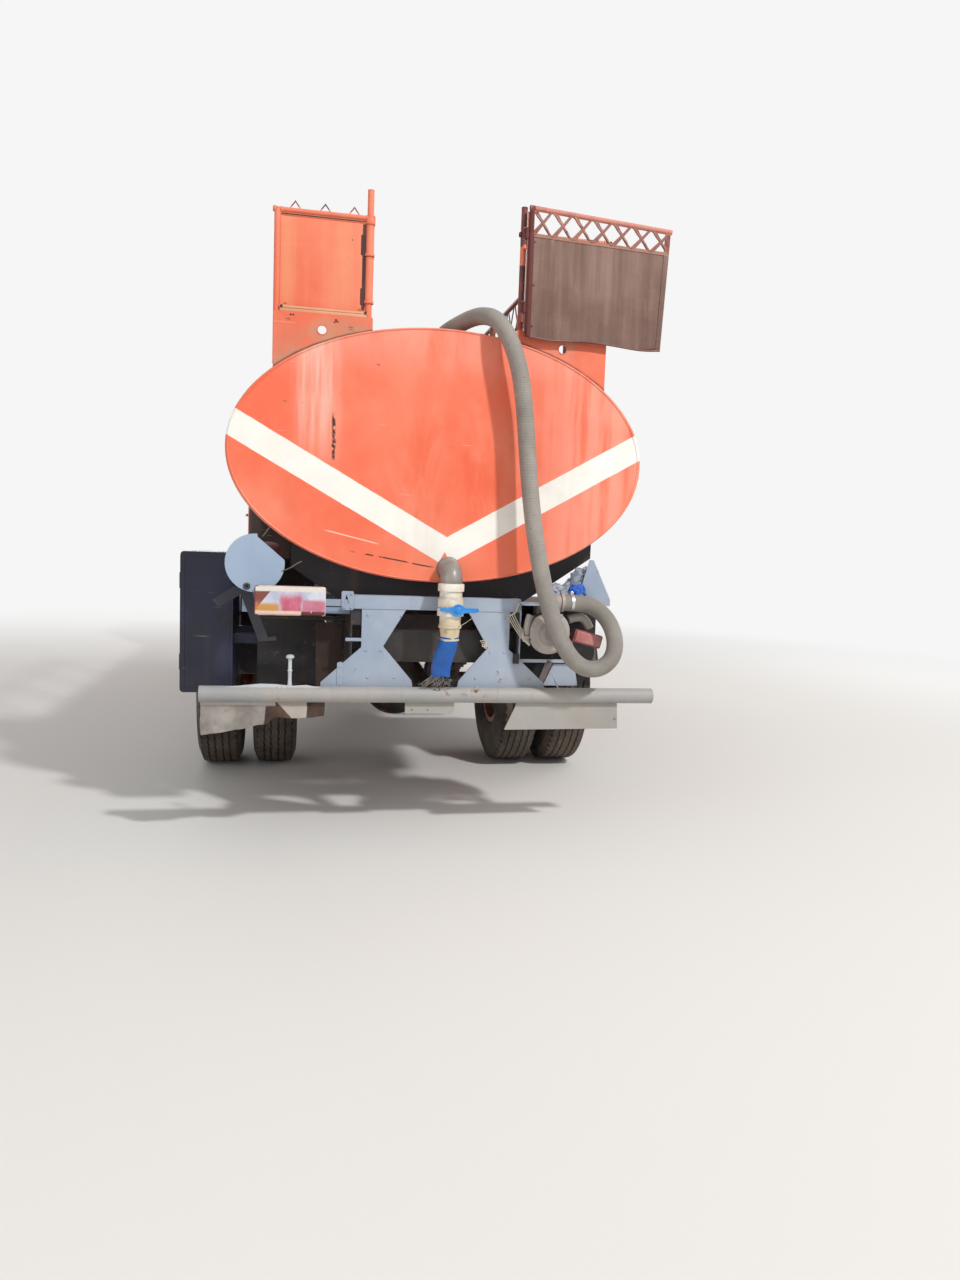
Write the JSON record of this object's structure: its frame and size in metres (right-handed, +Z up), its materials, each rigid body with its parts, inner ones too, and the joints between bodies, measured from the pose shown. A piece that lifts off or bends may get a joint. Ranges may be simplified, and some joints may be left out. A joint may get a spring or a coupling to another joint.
{
  "type": "water tanker truck",
  "caption": "Two-axle water tanker truck with an elliptical tank, top racks, rear outlet and a looped filling hose.",
  "frame": {"origin": "on the ground, in the middle of the vehicle's length and width, the hose's loop left out", "axes": "+Y to the front, +X to the right side of the vehicle, +Z up"},
  "size_m": [2.5, 7.361, 3.06],
  "materials": {
    "chassis_frame": "dusty paint",
    "tank_carrier": "dusty paint",
    "tank_shell": "faded paint",
    "tank_fittings": "faded paint",
    "manhole_lid": "faded paint",
    "hose_racks": "chipped paint",
    "rack_end_plates": "faded paint",
    "gate": "rust",
    "rear_frame": "chipped paint",
    "rear_bumper": "worn paint",
    "under_plates": "worn paint",
    "cloth_flap": "frayed",
    "mud_flap": "dusty",
    "lamps": "sun-bleached",
    "carrier_tube": "chipped paint",
    "side_boxes": "worn paint",
    "rear_mudguards": "dusty paint",
    "outlet_pipe": "dull",
    "valve_handle": "scuffed",
    "outlet_sleeve": "limp",
    "pump": "rusty",
    "hose": "dusty",
    "rear_rims_right": "worn paint",
    "rear_rims_left": "worn paint",
    "front_rim_right": "worn paint",
    "front_rim_left": "worn paint",
    "rear_hub_right": "rusty",
    "rear_hub_left": "rusty",
    "front_hub_right": "rusty",
    "front_hub_left": "rusty",
    "rear_tyres_right": "worn",
    "rear_tyres_left": "worn",
    "front_tyre_right": "worn",
    "front_tyre_left": "worn",
    "rear_axle": "rusty",
    "front_axle": "rusty",
    "knuckle_right": "rusty",
    "knuckle_left": "rusty",
    "tie_rod": "rusty",
    "leaf_springs": "rusty",
    "engine": "oily",
    "side_tanks": "worn paint",
    "exhaust": "rusty",
    "cab_roof": "faded paint",
    "cab_back": "faded paint",
    "cab_nose": "faded paint",
    "cab_sides": "faded paint",
    "door_right": "faded paint",
    "door_left": "faded paint",
    "cab_glass": "clear",
    "door_glass_right": "clear",
    "door_glass_left": "clear",
    "cab_floor": "rubber mat",
    "seats": "worn",
    "dashboard": "dull",
    "steering_wheel": "worn",
    "grille": "worn paint",
    "front_bumper": "chipped paint",
    "steps": "worn paint",
    "mirrors": "dull"
  },
  "bodies": {
    "truck": {"chassis_frame": "chassis_frame", "tank_carrier": "tank_carrier", "tank_shell": "tank_shell", "tank_fittings": "tank_fittings", "hose_racks": "hose_racks", "rack_end_plates": "rack_end_plates", "rear_frame": "rear_frame", "rear_bumper": "rear_bumper", "under_plates": "under_plates", "cloth_flap": "cloth_flap", "mud_flap": "mud_flap", "lamps": "lamps", "carrier_tube": "carrier_tube", "side_boxes": "side_boxes", "rear_mudguards": "rear_mudguards", "outlet_pipe": "outlet_pipe", "valve_handle": "valve_handle", "outlet_sleeve": "outlet_sleeve", "pump": "pump", "hose": "hose", "rear_axle": "rear_axle", "front_axle": "front_axle", "leaf_springs": "leaf_springs", "engine": "engine", "side_tanks": "side_tanks", "exhaust": "exhaust", "cab_roof": "cab_roof", "cab_back": "cab_back", "cab_nose": "cab_nose", "cab_sides": "cab_sides", "cab_glass": "cab_glass", "cab_floor": "cab_floor", "seats": "seats", "dashboard": "dashboard", "grille": "grille", "front_bumper": "front_bumper", "steps": "steps", "mirrors": "mirrors"},
    "manhole_lid": {"manhole_lid": "manhole_lid"},
    "gate": {"gate": "gate"},
    "rear_wheels_right": {"rear_rims_right": "rear_rims_right", "rear_hub_right": "rear_hub_right", "rear_tyres_right": "rear_tyres_right"},
    "rear_wheels_left": {"rear_rims_left": "rear_rims_left", "rear_hub_left": "rear_hub_left", "rear_tyres_left": "rear_tyres_left"},
    "front_wheel_right": {"front_rim_right": "front_rim_right", "front_hub_right": "front_hub_right", "front_tyre_right": "front_tyre_right"},
    "front_wheel_left": {"front_rim_left": "front_rim_left", "front_hub_left": "front_hub_left", "front_tyre_left": "front_tyre_left"},
    "knuckle_right": {"knuckle_right": "knuckle_right"},
    "knuckle_left": {"knuckle_left": "knuckle_left"},
    "tie_rod": {"tie_rod": "tie_rod"},
    "door_right": {"door_right": "door_right", "door_glass_right": "door_glass_right"},
    "door_left": {"door_left": "door_left", "door_glass_left": "door_glass_left"},
    "steering_wheel": {"steering_wheel": "steering_wheel"}
  },
  "joints": [
    {"name": "rear_right_spin", "type": "hinge", "parent": "truck", "child": "rear_wheels_right", "pos_m": [0.9425, -1.705, 0.526], "axis": [1, 0, 0], "continuous": true},
    {"name": "rear_left_spin", "type": "hinge", "parent": "truck", "child": "rear_wheels_left", "pos_m": [-0.9425, -1.705, 0.526], "axis": [1, 0, 0], "continuous": true},
    {"name": "steer_left", "type": "hinge", "parent": "truck", "child": "knuckle_left", "pos_m": [-0.84, 2.295, 0.526], "axis": [0, 0, 1], "range_deg": [-38, 38]},
    {"name": "steer_right", "type": "hinge", "parent": "truck", "child": "knuckle_right", "pos_m": [0.84, 2.295, 0.526], "axis": [0, 0, 1], "range_deg": [-38, 38]},
    {"name": "front_left_spin", "type": "hinge", "parent": "knuckle_left", "child": "front_wheel_left", "pos_m": [-1.01, 2.295, 0.526], "axis": [1, 0, 0], "continuous": true},
    {"name": "front_right_spin", "type": "hinge", "parent": "knuckle_right", "child": "front_wheel_right", "pos_m": [1.01, 2.295, 0.526], "axis": [1, 0, 0], "continuous": true},
    {"name": "tie_rod_left_ball", "type": "hinge", "parent": "knuckle_left", "child": "tie_rod", "pos_m": [-0.84, 2.105, 0.4], "axis": [0, 0, 1], "range_deg": [-38, 38]},
    {"name": "steering_wheel_turn", "type": "hinge", "parent": "truck", "child": "steering_wheel", "pos_m": [-0.66, 3.04023, 1.84198], "axis": [0, -0.4226, 0.9063], "range_deg": [-608, 608]},
    {"name": "door_right_hinge", "type": "hinge", "parent": "truck", "child": "door_right", "pos_m": [1.132, 3.188, 1.6], "axis": [0, 0, 1], "range_deg": [0, 70]},
    {"name": "door_left_hinge", "type": "hinge", "parent": "truck", "child": "door_left", "pos_m": [-1.132, 3.188, 1.6], "axis": [0, 0, -1], "range_deg": [0, 70]},
    {"name": "gate_hinge", "type": "hinge", "parent": "truck", "child": "gate", "pos_m": [0.365, -3.492, 2.7], "axis": [0, 0, 1], "range_deg": [-90, 0]},
    {"name": "lid_hinge", "type": "hinge", "parent": "truck", "child": "manhole_lid", "pos_m": [0, -1.478, 2.572], "axis": [-1, 0, 0], "range_deg": [0, 110]}
  ],
  "couplings": [
    {"joint": "steer_right", "follows": "steer_left", "ratio": 1},
    {"joint": "tie_rod_left_ball", "follows": "steer_left", "ratio": -1},
    {"joint": "steering_wheel_turn", "follows": "steer_left", "ratio": 16}
  ]
}
